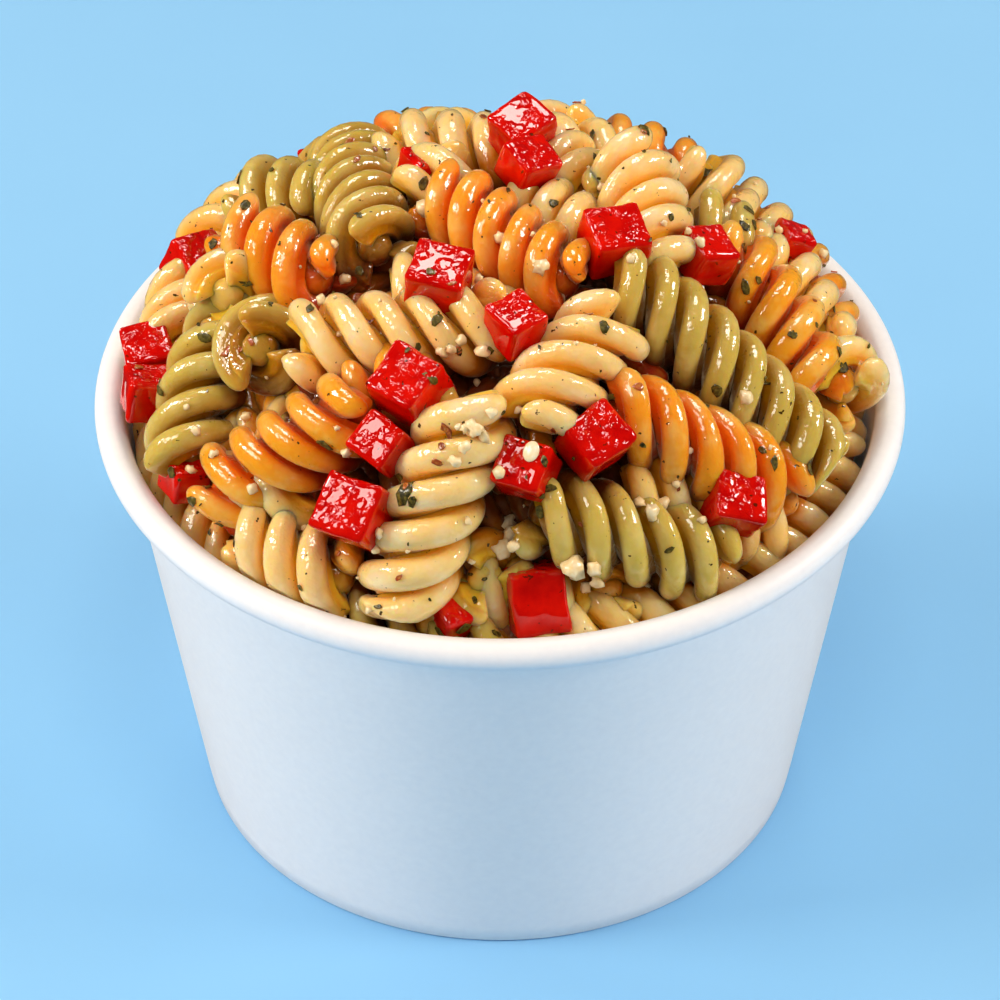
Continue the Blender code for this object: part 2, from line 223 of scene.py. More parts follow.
# Each die: name, middle, its three sizes, and its turns in degrees
DICE = (
    ("pepper_left_far", (-43.2, 18, 74.5), (7.5, 6.5, 7.0), (20, 10, 35)),
    ("pepper_left_rim_a", (-49.2, 1.6, 71.5), (7.0, 7.3, 6.5), (15, -10, 10)),
    ("pepper_left_rim_b", (-48.8, -7.4, 71.5), (7.0, 6.5, 6.5), (-10, 10, 12)),
    ("pepper_left_low", (-43.3, -21.9, 68.5), (5.5, 5.5, 5.5), (0, 10, 27)),
    ("pepper_top_small", (-11, 14.5, 94), (5.0, 5.5, 5.0), (0, 15, 30)),
    ("pepper_top_a", (3, 19.5, 97), (7.5, 7.0, 6.5), (10, -10, 40)),
    ("pepper_top_b", (4, 10.5, 97.5), (6.5, 6.2, 6.0), (15, 10, 35)),
    ("pepper_top_right", (15.5, -7, 98), (8.0, 7.5, 7.0), (15, 5, 20)),
    ("pepper_mid_left", (-8.2, -16, 98.5), (8.0, 7.5, 7.0), (10, 5, -15)),
    ("pepper_centre", (2, -23.5, 96.5), (6.5, 6.5, 6.0), (10, 0, 40)),
    ("pepper_left_centre", (-12, -30.5, 91.5), (8.5, 8.0, 7.5), (25, 0, -40)),
    ("pepper_left_upper", (-15.8, -36.3, 86.4), (6.4, 6.2, 6.0), (35, 10, -40)),
    ("pepper_left_front", (-19.4, -42.2, 79.5), (8.5, 8.2, 7.8), (40, 0, -30)),
    ("pepper_centre_front", (3.5, -40, 85), (7.2, 6.8, 6.8), (35, 0, -25)),
    ("pepper_right_centre", (12.6, -36.3, 87), (7.8, 7.2, 7.2), (30, -10, 40)),
    ("pepper_right_front", (31.5, -35.5, 75.5), (7.5, 7.0, 6.5), (30, 20, 10)),
    ("pepper_front", (4.9, -45.8, 67.2), (7.6, 6.3, 9.0), (-25, 0, 15)),
    ("pepper_front_low", (-6, -47, 65.5), (6.0, 5.5, 5.5), (20, 0, 30)),
    ("pepper_right_far", (28.2, -2.5, 92), (6.5, 6.5, 6.2), (10, 20, 30)),
    ("pepper_right_rim", (41, 15, 80.5), (5.0, 5.0, 5.0), (0, 30, 20)),
    ("pepper_back_left", (-25, 43.5, 72.5), (7.0, 6.5, 6.5), (-30, 10, 30)),
    ("pepper_back_mid", (0, 44, 76), (7.5, 7.0, 6.5), (-35, 0, 20)),
    ("pepper_back_right", (20, 45, 71.5), (7.0, 7.0, 6.5), (-25, -20, 40)),
)

# How the dice are rounded, split and tapered
DIE_ROUND = 0.7
DIE_CUTS = 11
DIE_LEAN = 0.07

# Two sizes of lumps on a die: how many to a metre, where their noise starts, and how high
DIE_LUMPS = ((210.0, (3.0, 1.0, 7.0), 0.4), (600.0, (0.0, 0.0, 0.0), 0.12))

# Start of the chance that the rules draw from
SEED = 11

# Strewn over the food: how many of each kind, and their sizes
STREWN_RADIUS = 51.0
LOOK_FROM = 15.0
HERB_COUNT = 170
HERB_SIZES = (0.6, 0.7, 0.9, 1.2, 1.6, 2.2)
DRIED_COUNT = 45
DRIED_RANGE = (0.7, 1.8)
CRUMB_COUNT = 70
CRUMB_SIZES = (0.5, 0.6, 0.8, 1.0, 1.4)

# How a flake is cut out and draped, then how a crumb is shaped and laid
FLAKE_CORNERS = (7, 9)
FLAKE_STRETCH = (0.45, 0.8)
FLAKE_RINGS = (0.55, 1.0)
FLAKE_RAGGED = (0.75, 1.1)
FLAKE_THICKNESS = 0.12
FLAKE_LIFT = 0.04
FLAKE_CURL = 0.22
DRAPE_FROM = 1.2
DRAPE_REACH = 3.0
CRUMB_STRETCH = (0.7, 1.15)
CRUMB_LUMP = 0.7
CRUMB_LIFT = 0.25

# The ones that stand out: place over the dome (x, y) and size
HERB_SPOTS = (
    (-21, -31, 3.0), (-11, -38, 4.2), (-10, -39, 2.2), (-12, -36, 2.0), (-41, -24, 2.4),
    (-35, -26, 1.8), (-37, -28, 1.6), (-6, -23, 1.8), (-5, -23, 1.5), (7, 3, 2.2),
    (12, 23, 2.4), (17, 13, 2.4), (12, 14, 1.4), (27, -22, 2.2), (26, -24, 1.8),
    (33, -28, 2.4), (32, -27, 1.6), (26, 19, 2.4), (32, -2, 2.6), (33, -1, 1.6),
    (37, -8, 1.8), (44, -7, 2.2), (44, -10, 2.4), (-22, -16, 1.8), (-30, 6, 2.0),
    (-35, 5, 1.8), (-8, -16, 1.6), (-10, 8, 2.4), (6, -38, 2.2), (5, -36, 1.6),
    (17, -32, 1.2), (31, 8, 2.4), (32, 9, 1.6), (-14, -40, 1.4), (-25, -36, 1.2),
    (-25, -36, 1.8), (-15, -47, 1.2), (-25, -43, 1.2), (-5, -50, 2.6), (-8, -50, 2.0),
    (4, 5, 1.8), (1, 2, 1.4),
)
DRIED_SPOTS = (
    (-20, -5, 2.6), (-34, -13, 1.9), (-33, -13, 1.2), (-6, -33, 2.2), (-7, -36, 1.8),
    (-12, -45, 1.4), (-24, -4, 1.4), (-19, 22, 1.8), (-18, 14, 1.8), (-16, -18, 1.2),
    (6, -33, 1.4),
)
CRUMB_SPOTS = (
    (0, -5, 2.4), (5, -12, 2.2), (-21, -4, 1.8), (-21, -3, 1.2), (-10, 5, 2.6),
    (-3, -33, 2.4), (-2, -34, 2.0), (-4, -33, 1.6), (-1, -32, 1.6), (-4, -35, 1.6),
    (-5, -36, 1.8), (0, -37, 1.6), (9, -44, 3.6), (12, -44, 2.6), (13, -45, 2.0),
    (12, -46, 1.6), (1, -40, 2.6), (1, -42, 3.0), (0, -43, 2.6), (2, -43, 1.8),
    (-4, -41, 1.2), (-41, -23, 1.4), (-36, -18, 1.4), (-39, -20, 1.6), (-35, -26, 1.2),
    (-14, -41, 1.6), (-15, -42, 1.4), (30, -22, 1.8), (-7, -23, 1.6), (-2, -23, 2.0),
    (-5, -22, 1.4), (-6, -23, 1.4), (19, -38, 2.4), (21, -36, 1.8), (18, -37, 1.6),
    (24, -4, 1.4), (23, -2, 1.2), (13, 8, 1.2), (-3, -24, 1.2),
)

# A pepper seed stuck flat on one die: place over the dome, and its three sizes
SEED_SPOT = (3.6, -35.1)
SEED_SIZE = (2.9, 2.2, 0.9)
SEED_LIFT = 0.3

# Each dough: its crests, its valleys in painted shade, pale patches, and painted shade deep in the gaps
PASTA_COLOURS = {
    "cream": ((0.87, 0.62, 0.25), (0.96, 0.48, 0.030), (0.89, 0.72, 0.43), (0.66, 0.22, 0.006)),
    "orange": ((0.85, 0.37, 0.018), (0.86, 0.14, 0.001), (0.88, 0.56, 0.14), (0.36, 0.025, 0.001)),
    "green": ((0.60, 0.47, 0.105), (0.46, 0.20, 0.001), (0.68, 0.57, 0.20), (0.13, 0.028, 0.001)),
}

# Painted shade far down between the pieces, darkest where they lie deepest
DEEP_GAP_SHADE = (0.15, 0.03, 0.003)

# Lamps light the food, and whiter cards only shine in its wet skin.
# Each: name, place and width in metres, power in watts.
LAMP_COLOUR = (1.0, 0.84, 0.69)
LAMPS = (
    ("left_lamp", (-0.85, -0.12, 0.42), 0.34, 6.0),
    ("left_high_lamp", (-0.50, 0.10, 0.80), 0.25, 0.9),
    ("right_lamp", (0.85, -0.12, 0.42), 0.30, 4.7),
    ("top_lamp", (0.05, -0.35, 1.1), 0.25, 2.2),
    ("back_lamp", (0.1, 0.75, 0.75), 0.22, 0.9),
)
CARD_COLOUR = (1.0, 0.96, 0.88)
CARDS = (
    ("left_card", (-0.80, 0.10, 0.60), 0.26, 5.0),
    ("left_high_card", (-0.62, -0.27, 0.97), 0.40, 4.5),
    ("right_card", (0.80, 0.15, 0.60), 0.26, 5.0),
    ("back_card", (-0.05, 0.55, 1.15), 0.46, 8.0),
)
LIGHT_AIM = (0.0, 0.0, 0.07)
STUDIO_COLOUR = (0.56, 0.54, 0.53)
STUDIO_SHINE = 0.05
FLOOR_HALF = 3000.0

# The camera that took the photo; its focal length is a share of the picture's width
CAMERA_ELEVATION = math.radians(40.27)
CAMERA_DISTANCE = 800.0
CAMERA_AIM_HEIGHT = 45.9
FOCAL_SHARE = 5.595


def wall_radius(height):
    """The outside of the cup's wall at each height."""
    return BASE_RADIUS + (NECK_RADIUS - BASE_RADIUS) * height / NECK_HEIGHT


def food_reach(height):
    """How far from the cup's axis the food may go at each height: to the wall, then over the rim."""
    wall = wall_radius(height) - WALL
    over_rim = np.clip(height - OVERHANG_FROM, 0.0, OVERHANG_HEIGHT) * OVERHANG_SLOPE
    return np.minimum(FOOD_RADIUS, wall - CUP_GAP) + over_rim


def dome_height(radius):
    fall = np.clip(radius / DOME_EDGE_RADIUS, 0.0, 1.0) ** DOME_SHOULDER
    return DOME_EDGE + (DOME_TOP - DOME_EDGE) * (1.0 - fall)


def dome_place(radius, angle):
    """A point on the dome, the way that it faces, and the way down its slope."""
    step = 2.0
    slope = math.atan2(dome_height(radius - step) - dome_height(radius + step), 2.0 * step)
    place = np.array((radius * math.cos(angle), radius * math.sin(angle), dome_height(radius)))
    out = np.array((math.cos(angle), math.sin(angle), 0.0))
    up = np.array((0.0, 0.0, 1.0))
    facing = up * math.cos(slope) + out * math.sin(slope)
    downhill = out * math.cos(slope) - up * math.sin(slope)
    return place, facing, downhill


def press_to_cup(points, room=0.0):
    """Moves points that would cross the cup's wall back in, to a distance from it."""
    reach = food_reach(points[:, 2]) - room
    radius = np.hypot(points[:, 0], points[:, 1])
    share = np.where(radius > reach, reach / np.maximum(radius, 1e-6), 1.0)
    points[:, 0] *= share
    points[:, 1] *= share
    return points


def new_piece(name, points, faces, smooth=True):
    """An object of points in millimetres."""
    mesh = bpy.data.meshes.new(name)
    mesh.from_pydata((np.asarray(points) * MM).tolist(), [], faces)
    mesh.polygons.foreach_set("use_smooth", [smooth] * len(mesh.polygons))
    mesh.update()
    thing = bpy.data.objects.new(name, mesh)
    bpy.context.scene.collection.objects.link(thing)
    return thing


def gentle_wave(along, draw, sizes, lengths):
    """A slow unevenness: a few sine waves, each with its own start."""
    total = np.zeros_like(along)
    for size, length in zip(sizes, lengths):
        length = length * draw.uniform(*WAVE_RANGE)
        total += size * np.sin(math.tau * along / length + draw.uniform(0, math.tau))
    return total


def axis_points(start, end, bow, share):
    """Points on a twist's bowed axis, the way it runs, and outward from the heap."""
    middle = (start + end) / 2.0
    along = (end - start) / np.linalg.norm(end - start)
    outward = middle - np.array((0.0, 0.0, DOME_EDGE))
    outward -= along * (outward @ along)
    outward /= np.linalg.norm(outward)
    handle = middle + outward * 2.0 * bow
    share = share[:, None]
    points = start * (1 - share) ** 2 + handle * 2 * share * (1 - share) + end * share ** 2
    points = press_to_cup(points, AXIS_ROOM)
    way = (handle - start) * (1 - share) + (end - handle) * share
    way /= np.linalg.norm(way, axis=1)[:, None]
    normal = outward - way * (way @ outward)[:, None]
    normal /= np.linalg.norm(normal, axis=1)[:, None]
    return points, way, normal, np.cross(way, normal)


def blade_section(ridge, steps):
    """Round one blade: offset along the axis and radius, from the web, over the ridge, and back."""
    centre = TWIST_RADIUS - ridge
    section = [(-WEB_HALF, WEB_RADIUS), (-VALLEY_HALF, VALLEY_RADIUS)]
    for step in range(steps + 1):
        angle = math.radians(RIDGE_SWEEP * (2.0 * step / steps - 1.0))
        section.append((ridge * math.sin(angle), centre + ridge * math.cos(angle)))
    section += [(VALLEY_HALF, VALLEY_RADIUS), (WEB_HALF, WEB_RADIUS)]
    return np.array(section)


def tube_faces(rows, count):
    """Faces of a closed tube of rows with so many points each."""
    faces = []
    for row in range(rows - 1):
        this = row * count
        that = this + count
        for place in range(count):
            after = (place + 1) % count
            faces.append((this + place, this + after, that + after, that + place))
    last = (rows - 1) * count
    faces.append(tuple(reversed(range(count))))
    faces.append(tuple(range(last, last + count)))
    return faces


def with_tips(first, last, step, reach):
    """Even places from first to last, then closer ones that round off each tip, and their sizes."""
    tips = np.radians(TIP_DEGREES)
    count = max(3, round((last - first) / step))
    before = first - reach * np.sin(tips)[::-1]
    after = last + reach * np.sin(tips)
    places = np.concatenate((before, np.linspace(first, last, count), after))
    sizes = np.concatenate((np.cos(tips)[::-1], np.ones(count), np.cos(tips)))
    return places, sizes


def cut_end(along, length):
    """The cut ends of a piece are as pale as its crests: from 0 further in to the most at the end."""
    return END_PALE * np.clip(1.0 - np.minimum(along, length - along) / END_DEPTH, 0.0, 1.0)


def blade(start, end, turn, bow, ridge, girth, lead, draw, coarse):
    """One of a piece's three blades: its rows of points, and how near its crest each point is."""
    length = float(np.linalg.norm(end - start))
    section = blade_section(ridge, round(RIDGE_STEPS / coarse))
    centre = TWIST_RADIUS - ridge
    tip_reach = ridge * TWIST_LEAD / (math.tau * centre)
    first = ridge + draw.uniform(-END_SHIFT, END_SHIFT)
    last = length - ridge + draw.uniform(-END_SHIFT, END_SHIFT)
    along, size = with_tips(first, last, ROW_STEP * coarse, tip_reach)
    swell = 1.0 + gentle_wave(along, draw, *SWELL_WAVE)
    rise = gentle_wave(along, draw, *RISE_WAVE)
    sway = gentle_wave(along, draw, *SWAY_WAVE)
    lean = draw.uniform(-LEAN, LEAN)
    radius = section[None, :, 1]
    offset = section[None, :, 0] * (swell * size)[:, None] + lean * (radius - centre)
    share = np.clip((radius - ROD_RADIUS) / (TWIST_RADIUS - ROD_RADIUS), 0.0, 1.0)
    reach = centre + (radius - centre) * size[:, None] + rise[:, None] * share
    reach = reach * girth
    around = np.radians(turn + sway + 360.0 * along / lead)[:, None, None]
    share_along = ((along[:, None] + offset) / length).reshape(-1)
    spot, _, normal, side = axis_points(start, end, bow, share_along)
    shape = (*reach.shape, 3)
    swing = normal.reshape(shape) * np.cos(around) + side.reshape(shape) * np.sin(around)
    rows = spot.reshape(shape) + swing * reach[:, :, None]
    height = np.clip((reach - ROD_RADIUS) / (TWIST_RADIUS - ROD_RADIUS), 0.0, 1.0)
    return rows, np.maximum(height, cut_end(along, length)[:, None])


def rod(start, end, bow, coarse):
    """What the blades are wound round: its rows of points, and how pale each point is."""
    length = float(np.linalg.norm(end - start))
    along, size = with_tips(ROD_INSET, length - ROD_INSET, ROD_STEP * coarse, ROD_TIP)
    spot, _, normal, side = axis_points(start, end, bow, along / length)
    ring = np.radians(np.arange(ROD_SIDES) * 360.0 / ROD_SIDES)[None, :, None]
    swing = normal[:, None] * np.cos(ring) + side[:, None] * np.sin(ring)
    rows = spot[:, None] + swing * (ROD_RADIUS * size)[:, None, None]
    return rows, np.repeat(cut_end(along, length)[:, None], ROD_SIDES, axis=1)


def twist(start, end, turn, bow, dough, draw, coarse=1.0):
    """One piece of pasta: its points, its faces, and how near its crest each point is."""
    start = np.array(start, float)
    end = np.array(end, float)
    ridge = RIDGE[dough] * draw.uniform(*RIDGE_RANGE)
    girth = draw.uniform(*GIRTH_RANGE)
    lead = TWIST_LEAD * draw.uniform(*LEAD_RANGE)
    tubes = []
    for number in range(BLADES):
        own_turn = 360.0 / BLADES * number + turn
        tubes.append(blade(start, end, own_turn, bow, ridge, girth, lead, draw, coarse))
    tubes.append(rod(start, end, bow, coarse))
    points = []
    faces = []
    crest = []
    count = 0
    for rows, height in tubes:
        points.append(rows.reshape(-1, 3))
        faces += [tuple(index + count for index in face) for face in tube_faces(*height.shape)]
        crest.append(height.reshape(-1))
        count += height.size
    return press_to_cup(np.concatenate(points)), faces, np.concatenate(crest)


def sunk(points, facing, above):
    """Lowers a whole piece until what rests on it hardly cuts into it."""
    cut = np.zeros(len(points))
    for _, start, end, _, bow in above:
        start = np.array(start, float)
        end = np.array(end, float)
        along = end - start
        length = np.linalg.norm(along)
        close = np.linalg.norm(points - (start + end) / 2.0, axis=1) < length / 2.0 + TWIST_RADIUS + bow
        if not close.any():
            continue
        near = points[close]
        share = np.clip((near - start) @ along / length ** 2, 0.0, 1.0)
        spine, way, normal, side = axis_points(start, end, bow, share)
        away = near - spine
        height = (away * normal).sum(axis=1)
        aside = (away * side).sum(axis=1) ** 2 + (away * way).sum(axis=1) ** 2
        under = np.sqrt(np.clip(ROOM_RADIUS ** 2 - aside, 0.0, None))
        inside = (aside < ROOM_RADIUS ** 2) & (abs(height) < under)
        cut[close] = np.maximum(cut[close], np.where(inside, height + under, 0.0))
    drop = min(float(np.percentile(cut, SINK_PERCENT)), SINK_LIMIT)
    return points - facing * drop


class Batch:
    """Gathers many small meshes into one piece, with what their material reads."""

    def __init__(self, name):
        self.name = name
        self.points = []
        self.faces = []
        self.crest = []
        self.shade = []
        self.count = 0

    def add(self, points, faces, crest, shade):
        self.faces += [tuple(index + self.count for index in face) for face in faces]
        self.points.append(points)
        self.crest.append(crest)
        self.shade.append(np.full(len(points), shade))
        self.count += len(points)

    def build(self):
        thing = new_piece(self.name, np.concatenate(self.points), self.faces)
        set_attribute(thing, "crest", np.concatenate(self.crest))
        set_attribute(thing, "shade", np.concatenate(self.shade))
        return thing


def set_attribute(thing, label, values):
    layer = thing.data.attributes.new(label, "FLOAT", "POINT")
    layer.data.foreach_set("value", np.asarray(values, np.float32))


def mesh_points(thing):
    points = np.empty(len(thing.data.vertices) * 3, np.float32)
    thing.data.vertices.foreach_get("co", points)
    return points.reshape(-1, 3) / MM


def seen_from_below(points):
    """Where points fall on a map of directions from under the heap, and how far out they are."""
    away = points - np.array(MAP_CENTRE)
    distance = np.linalg.norm(away, axis=1)
    flat = np.hypot(away[:, 0], away[:, 1])
    turn = np.arctan2(flat, away[:, 2]) / np.maximum(flat, 1e-6)
    cells = np.stack((away[:, 0] * turn, away[:, 1] * turn)) / MAP_CELL + MAP_SIZE / 2
    return np.clip(cells.astype(int), 0, MAP_SIZE - 1), distance


def widest(grid, reach):
    """Each cell takes the largest value within this many cells."""
    for axis in (0, 1):
        grid = np.max([np.roll(grid, step, axis) for step in range(-reach, reach + 1)], axis=0)
    return grid


def smoothed(grid, reach):
    for axis in (0, 1):
        grid = np.mean([np.roll(grid, step, axis) for step in range(-reach, reach + 1)], axis=0)
    return grid


def mark_depth(pieces):
    """Tells each piece's material how deep its points lie under the crests around them; the pasta's
    material paints shade from it.
    """
    found = [(thing, *seen_from_below(mesh_points(thing))) for thing in pieces]
    skin = np.zeros((MAP_SIZE, MAP_SIZE))
    for _, cells, distance in found:
        np.maximum.at(skin, (cells[0], cells[1]), distance)
    skin = smoothed(widest(skin, MAP_WIDEN), MAP_SMOOTH)
    for thing, cells, distance in found:
        set_attribute(thing, "deep", skin[cells[0], cells[1]] - distance)


def make_pasta():
    """The corkscrews that show, one piece for each dough."""
    batches = {dough: Batch("pasta_" + dough) for dough in RIDGE}
    for number, (name, start, end, turn, bow) in enumerate(TWISTS):
        draw = random.Random(SEED * 1000 + number)
        dough = name.split("_")[0]
        points, faces, crest = twist(start, end, turn, bow, dough, draw)
        batches[dough].add(points, faces, crest, draw.random())
    return {dough: batch.build() for dough, batch in batches.items()}


def make_ring_pasta():
    """Corkscrews that lie along the wall, all round, just under the rim."""
    batches = {dough: Batch("rim_" + dough) for dough in RIDGE}
    for number, dough in enumerate(RING_DOUGHS):
        draw = random.Random(SEED * 500 + number)
        angle = math.tau * (number + RING_START) / len(RING_DOUGHS)
        half = math.pi * RING_RADIUS / len(RING_DOUGHS) * RING_OVERLAP
        out = np.array((math.cos(angle), math.sin(angle), 0.0))
        along = np.array((-math.sin(angle), math.cos(angle), 0.0))
        chord = math.sqrt(RING_RADIUS ** 2 - half ** 2)
        middle = out * chord + np.array((0.0, 0.0, RING_HEIGHT))
        turn = draw.uniform(0, 120)
        start = middle - along * half
        end = middle + along * half
        points, faces, crest = twist(start, end, turn, RING_RADIUS - chord, dough, draw, RING_COARSE)
        batches[dough].add(points, faces, crest, draw.random())
    return {dough: batch.build() for dough, batch in batches.items()}


def make_under_pasta():
    """Corkscrews just under the surface, spread evenly, and turned to lie round the heap further out."""
    draw = random.Random(SEED)
    golden = math.pi * (3.0 - math.sqrt(5.0))
    batches = {dough: Batch("under_" + dough) for dough in RIDGE}
    for number in range(UNDER_COUNT):
        radius = UNDER_REACH * math.sqrt((number + 0.5) / UNDER_COUNT)
        angle = golden * number
        middle, normal, downhill = dome_place(radius, angle)
        across = np.cross(normal, downhill)
        middle = middle + normal * (UNDER_LIFT + draw.uniform(*UNDER_LIFT_RANGE))
        heading = draw.uniform(0, math.pi)
        if radius > UNDER_ROUND_FROM:
            heading = math.pi / 2 + draw.uniform(-UNDER_ASKEW, UNDER_ASKEW)
        way = downhill * math.cos(heading) + across * math.sin(heading)
        half = UNDER_LENGTH * draw.uniform(*UNDER_HALF_RANGE)
        dough = draw.choice(UNDER_DOUGHS)
        bow = half * half / UNDER_BEND
        turn = draw.uniform(0, 120)
        start = middle - way * half
        end = middle + way * half
        points, faces, crest = twist(start, end, turn, bow, dough, draw, UNDER_COARSE)
        batches[dough].add(sunk(points, normal, TWISTS), faces, crest, draw.random())
    return {dough: batch.build() for dough, batch in batches.items()}


def food_tree(pieces):
    """All the food's surface in millimetres, to lay small things on."""
    points = []
    faces = []
    for thing in pieces:
        count = len(points)
        points += mesh_points(thing).tolist()
        faces += [tuple(index + count for index in face.vertices) for face in thing.data.polygons]
    return BVHTree.FromPolygons(points, faces)


def strewn_places(tree, count, draw):
    """Random places on the food, and the way that its surface faces there."""
    places = []
    for _ in range(count):
        radius = STREWN_RADIUS * math.sqrt(draw.random())
        angle = draw.uniform(0.0, math.tau)
        places.append(laid(tree, radius * math.cos(angle), radius * math.sin(angle)))
    return places


def laid(tree, x, y):
    """The place on the food over a point of the dome, and the way that it faces."""
    place, normal, _ = dome_place(math.hypot(x, y), math.atan2(y, x))
    hit, facing, _, _ = tree.ray_cast(Vector(place + normal * LOOK_FROM), Vector(-normal))
    return hit, facing if facing.dot(Vector(normal)) > 0 else -facing


def flake(tree, spot, facing, size, draw):
    """A thin scrap of leaf or dried pepper, draped on what it lies on."""
    side = facing.orthogonal().normalized()
    side.rotate(Quaternion(facing, draw.uniform(0.0, math.tau)))
    over = facing.cross(side)
    rim = draw.randint(*FLAKE_CORNERS)
    stretch = draw.uniform(*FLAKE_STRETCH)
    flat = [Vector((0.0, 0.0))]
    for share in FLAKE_RINGS:
        for corner in range(rim):
            angle = math.tau * (corner + draw.uniform(-0.25, 0.25)) / rim
            length = size * share * draw.uniform(*FLAKE_RAGGED) / 2.0
            flat.append(Vector((length * math.cos(angle), length * stretch * math.sin(angle))))
    under = []
    for index, point in enumerate(flat):
        place = spot + side * point.x + over * point.y
        hit, _, _, _ = tree.ray_cast(place + facing * DRAPE_FROM, -facing, DRAPE_REACH)
        curl = draw.uniform(0.0, FLAKE_CURL) if index > rim else 0.0
        under.append((hit or place) + facing * (FLAKE_LIFT + curl))
    points = under + [point + facing * FLAKE_THICKNESS for point in under]
    top = len(under)
    faces = []
    for corner in range(rim):
        after = (corner + 1) % rim
        inner, inner_after = 1 + corner, 1 + after
        outer, outer_after = 1 + rim + corner, 1 + rim + after
        faces.append((top, top + inner, top + inner_after))
        faces.append((top + inner, top + outer, top + outer_after, top + inner_after))
        faces.append((0, inner_after, inner))
        faces.append((inner, inner_after, outer_after, outer))
        faces.append((outer, outer_after, top + outer_after, top + outer))
    return [tuple(point) for point in points], faces


def crumb(spot, facing, size, draw):
    """A small uneven lump, a little sunk in what it lies on."""
    bm = bmesh.new()
    bmesh.ops.create_icosphere(bm, subdivisions=2, radius=0.5)
    shift = Vector([draw.uniform(0.0, 50.0) for _ in range(3)])
    stretch = Vector([draw.uniform(*CRUMB_STRETCH) for _ in range(3)])
    for vert in bm.verts:
        lump = 1.0 + CRUMB_LUMP * noise.noise(vert.co * 3.0 + shift)
        vert.co = vert.co * stretch * size * lump
    turn = Euler([draw.uniform(0.0, math.tau) for _ in range(3)]).to_matrix()
    points = [tuple(turn @ vert.co + spot + facing * size * CRUMB_LIFT) for vert in bm.verts]
    faces = [tuple(vert.index for vert in face.verts) for face in bm.faces]
    bm.free()
    return points, faces


def make_seed(tree):
    """The one pale seed, an oval disc lying on its die."""
    spot, facing = laid(tree, *SEED_SPOT)
    bm = bmesh.new()
    bmesh.ops.create_uvsphere(bm, u_segments=32, v_segments=16, radius=0.5)
    turn = facing.to_track_quat("Z", "X")
    points = []
    for vert in bm.verts:
        local = Vector([value * size for value, size in zip(vert.co, SEED_SIZE)])
        points.append(tuple(turn @ local + spot + facing * SEED_SIZE[2] * SEED_LIFT))
    faces = [tuple(vert.index for vert in face.verts) for face in bm.faces]
    bm.free()
    return new_piece("pepper_seed", points, faces)


class Strewn(Batch):
    """Small things of one kind, gathered into one piece."""

    def put(self, shape, draw):
        points, faces = shape
        self.add(np.array(points), faces, np.ones(len(points)), draw.random())


def make_strewn(pieces):
    """Herbs, dried pepper and crumbs: the listed ones that stand out, the rest by chance."""
    tree = food_tree(pieces)
    draw = random.Random(SEED + 5)
    herbs = Strewn("herb_flakes")
    dried = Strewn("dried_pepper_flakes")
    crumbs = Strewn("cheese_crumbs")
    for x, y, size in HERB_SPOTS:
        herbs.put(flake(tree, *laid(tree, x, y), size, draw), draw)
    for x, y, size in DRIED_SPOTS:
        dried.put(flake(tree, *laid(tree, x, y), size, draw), draw)
    for x, y, size in CRUMB_SPOTS:
        crumbs.put(crumb(*laid(tree, x, y), size, draw), draw)
    for spot, facing in strewn_places(tree, HERB_COUNT, draw):
        herbs.put(flake(tree, spot, facing, draw.choice(HERB_SIZES), draw), draw)
    for spot, facing in strewn_places(tree, DRIED_COUNT, draw):
        dried.put(flake(tree, spot, facing, draw.uniform(*DRIED_RANGE), draw), draw)
    for spot, facing in strewn_places(tree, CRUMB_COUNT, draw):
        crumbs.put(crumb(spot, facing, draw.choice(CRUMB_SIZES), draw), draw)
    return herbs.build(), dried.build(), crumbs.build(), make_seed(tree)


def turn_profile(name, profile, sides):
    """Turns a profile, given from axis to axis, into one closed body."""
    points = []
    rings = []
    for radius, height in profile:
        if radius == 0.0:
            rings.append([len(points)])
            points.append((0.0, 0.0, height))
            continue
        rings.append(list(range(len(points), len(points) + sides)))
        for side in range(sides):
            angle = math.tau * side / sides
            points.append((radius * math.cos(angle), radius * math.sin(angle), height))
    faces = []
    for lower, upper in zip(rings, rings[1:]):
        for side in range(sides):
            after = (side + 1) % sides
            corners = [lower[side % len(lower)], lower[after % len(lower)]]
            corners += [upper[after % len(upper)], upper[side % len(upper)]]
            faces.append(tuple(dict.fromkeys(corners)))
    return new_piece(name, points, faces)


def cup_profile():
    """Under the floor, round the foot, up the outside, over the rolled rim, down the inside."""
    inside_floor = FOOT_DEPTH + FLOOR_THICKNESS
    foot_inside = BASE_RADIUS - FOOT_WIDTH
    profile = [
        (0.0, FOOT_DEPTH),
        (foot_inside - FLOOR_ROUND, FOOT_DEPTH),
        (foot_inside, FOOT_DEPTH - FLOOR_ROUND),
        (foot_inside, FOOT_ROUND),
        (foot_inside + FOOT_ROUND, 0.0),
        (BASE_RADIUS - FOOT_ROUND, 0.0),
        (BASE_RADIUS, FOOT_ROUND),
    ]
    outside_top = NECK_HEIGHT - WALL_STOPS[0]
    for step in range(1, WALL_STEPS + 1):
        height = FOOT_ROUND + (outside_top - FOOT_ROUND) * step / WALL_STEPS
        profile.append((wall_radius(height), height))
    start = math.radians(ROLL_FROM)
    finish = math.radians(ROLL_TO)
    for step in range(ROLL_STEPS + 1):
        angle = start + (finish - start) * step / ROLL_STEPS
        out = ROLL_RADIUS * math.cos(angle)
        up = ROLL_RADIUS * math.sin(angle)
        profile.append((RIM_RADIUS - ROLL_RADIUS + out, CUP_HEIGHT - ROLL_RADIUS + up))
    inside_top = NECK_HEIGHT - WALL_STOPS[1]
    for step in range(WALL_STEPS + 1):
        height = inside_top - (inside_top - inside_floor) * step / WALL_STEPS
        profile.append((wall_radius(height) - WALL, height))
    profile.append((0.0, inside_floor))
    return profile


def make_cup():
    return turn_profile("paper_cup", cup_profile(), CUP_SIDES)


